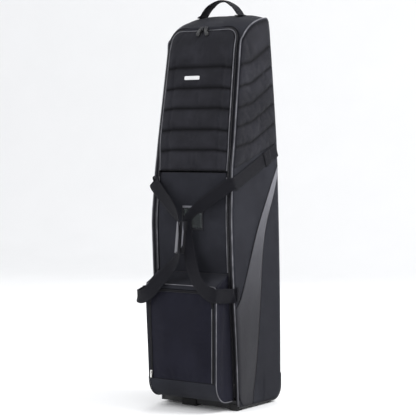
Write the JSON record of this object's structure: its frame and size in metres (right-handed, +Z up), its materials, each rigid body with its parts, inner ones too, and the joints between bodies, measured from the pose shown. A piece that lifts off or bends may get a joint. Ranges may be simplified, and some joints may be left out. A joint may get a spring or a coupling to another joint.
{
  "type": "golf travel case",
  "caption": "Tall soft wheeled travel case for a golf bag, with a zipped quilted front cover, shoe pocket, carry loops, padded grip and top handle.",
  "frame": {"origin": "on the ground, under the middle of the whole case's bounding box", "axes": "+Z up along the case, -Y the way the zipped front faces, +X the viewer's right when looking at the front"},
  "size_m": [0.3794, 0.3785, 1.398],
  "materials": {
    "main_fabric": "woven polyester",
    "surround_fabric": "woven polyester",
    "accent_fabric": "satin woven polyester",
    "foam": "closed-cell foam",
    "board": "smooth sheet",
    "piping": "corded trim",
    "webbing": "ribbed webbing",
    "grip_fabric": "padded wrap with bound edges",
    "moulding": "fine texture",
    "feet": "matte",
    "screw": "zinc plated",
    "axle": "turned",
    "bearing": "ground",
    "tyre": "polyurethane",
    "hub": "moulded",
    "zip_tape": "coil zip",
    "slider": "black",
    "silver_slider": "nickel",
    "id_trim": "bound edge",
    "id_window": "clear film",
    "card": "paper card",
    "label": "blank woven label"
  },
  "bodies": {
    "root": {"side_panel_right": "main_fabric", "side_panel_left": "main_fabric", "back_panel": "main_fabric", "zip_surround": "surround_fabric", "top_cap": "main_fabric", "crown_foam": "foam", "back_stiffener": "board", "side_quilt_right": "main_fabric", "side_quilt_left": "main_fabric", "side_accent_right": "accent_fabric", "side_accent_left": "accent_fabric", "corner_piping": "piping", "side_webbing_right": "webbing", "side_webbing_left": "webbing", "sewn_patches": "webbing", "strap_loops": "webbing", "base_tray": "moulding", "base_board": "board", "front_feet": "feet", "foot_screws": "screw", "wheel_housing_right": "moulding", "wheel_housing_left": "moulding", "axle_right": "axle", "axle_left": "axle", "inner_webbing_left": "webbing", "inner_webbing_right": "webbing", "buckle_female": "moulding"},
    "front_panel": {"front_panel": "main_fabric", "cover_zip_lower": "zip_tape", "cover_piping_lower": "piping", "id_frame": "id_trim", "id_window": "id_window", "id_card": "card", "pocket_gusset": "main_fabric", "pocket_zip_body": "zip_tape", "pocket_edge_trim": "piping"},
    "upper_flap": {"quilted_flap": "main_fabric", "cover_zip_upper": "zip_tape", "cover_piping_upper": "piping", "blank_label": "label"},
    "pocket_door": {"pocket_door": "main_fabric", "pocket_zip_door": "zip_tape"},
    "zip_slider_right": {"zip_slider_right": "slider"},
    "zip_slider_left": {"zip_slider_left": "slider"},
    "zip_pull_right": {"zip_pull_right": "slider"},
    "zip_pull_left": {"zip_pull_left": "slider"},
    "pocket_slider": {"pocket_slider": "silver_slider"},
    "pocket_pull": {"pocket_pull": "silver_slider"},
    "carry_loop_left": {"carry_loop_left": "webbing", "grip_wrap": "grip_fabric"},
    "carry_loop_right": {"carry_loop_right": "webbing"},
    "grip_flap": {"grip_flap": "grip_fabric"},
    "top_handle": {"top_handle": "webbing"},
    "wheel_left": {"tyre_left": "tyre", "hub_left": "hub", "bearings_left": "bearing"},
    "wheel_right": {"tyre_right": "tyre", "hub_right": "hub", "bearings_right": "bearing"},
    "buckle_male": {"buckle_male": "moulding"}
  },
  "joints": [
    {"name": "front_panel_hinge", "type": "hinge", "parent": "root", "child": "front_panel", "pos_m": [0, -0.075, 0.03395], "axis": [1, 0, 0], "range_deg": [0, 90], "deforming": ["carry_loop_left", "carry_loop_right", "grip_wrap", "grip_flap"]},
    {"name": "upper_flap_hinge", "type": "hinge", "parent": "front_panel", "child": "upper_flap", "pos_m": [0, -0.11349, 0.80507], "axis": [1, 0, 0], "range_deg": [0, 140]},
    {"name": "pocket_door_hinge", "type": "hinge", "parent": "front_panel", "child": "pocket_door", "pos_m": [0, -0.174, 0.1], "axis": [1, 0, 0], "range_deg": [0, 90]},
    {"name": "zip_slider_right_slide", "type": "slide", "parent": "upper_flap", "child": "zip_slider_right", "axis": [1, 0, 0], "range_m": [0, 0.08]},
    {"name": "zip_slider_left_slide", "type": "slide", "parent": "upper_flap", "child": "zip_slider_left", "axis": [-1, 0, 0], "range_m": [0, 0.08]},
    {"name": "zip_pull_right_hinge", "type": "hinge", "parent": "zip_slider_right", "child": "zip_pull_right", "pos_m": [0.009, -0.04939, 1.29332], "axis": [-1, 0, 0], "range_deg": [0, 150]},
    {"name": "zip_pull_left_hinge", "type": "hinge", "parent": "zip_slider_left", "child": "zip_pull_left", "pos_m": [-0.009, -0.04939, 1.29332], "axis": [-1, 0, 0], "range_deg": [0, 150]},
    {"name": "pocket_slider_slide", "type": "slide", "parent": "pocket_door", "child": "pocket_slider", "axis": [0, 0, 1], "range_m": [0, 0.22]},
    {"name": "pocket_pull_hinge", "type": "hinge", "parent": "pocket_slider", "child": "pocket_pull", "pos_m": [-0.12825, -0.181, 0.12], "axis": [-1, 0, 0], "range_deg": [0, 150]},
    {"name": "carry_loop_left_hinge", "type": "hinge", "parent": "root", "child": "carry_loop_left", "pos_m": [-0.166, -0.09565, 0.33329], "axis": [0, 0.0505, -0.9987], "range_deg": [0, 90]},
    {"name": "carry_loop_right_hinge", "type": "hinge", "parent": "root", "child": "carry_loop_right", "pos_m": [0.166, -0.09565, 0.33329], "axis": [0, -0.0505, 0.9987], "range_deg": [0, 90]},
    {"name": "grip_flap_hinge", "type": "hinge", "parent": "carry_loop_left", "child": "grip_flap", "pos_m": [-0.0235, -0.16556, 0.58708], "axis": [0, 0.0505, -0.9987], "range_deg": [0, 120]},
    {"name": "top_handle_hinge", "type": "hinge", "parent": "root", "child": "top_handle", "pos_m": [0, 0.06, 1.349], "axis": [1, 0, 0], "range_deg": [-60, 60]},
    {"name": "wheel_left_spin", "type": "hinge", "parent": "root", "child": "wheel_left", "pos_m": [-0.14, 0.139, 0.04], "axis": [1, 0, 0], "continuous": true},
    {"name": "wheel_right_spin", "type": "hinge", "parent": "root", "child": "wheel_right", "pos_m": [0.14, 0.139, 0.04], "axis": [1, 0, 0], "continuous": true},
    {"name": "buckle_release", "type": "slide", "parent": "root", "child": "buckle_male", "axis": [1, 0, 0], "range_m": [0, 0.025], "deforming": ["inner_webbing_right"]}
  ]
}
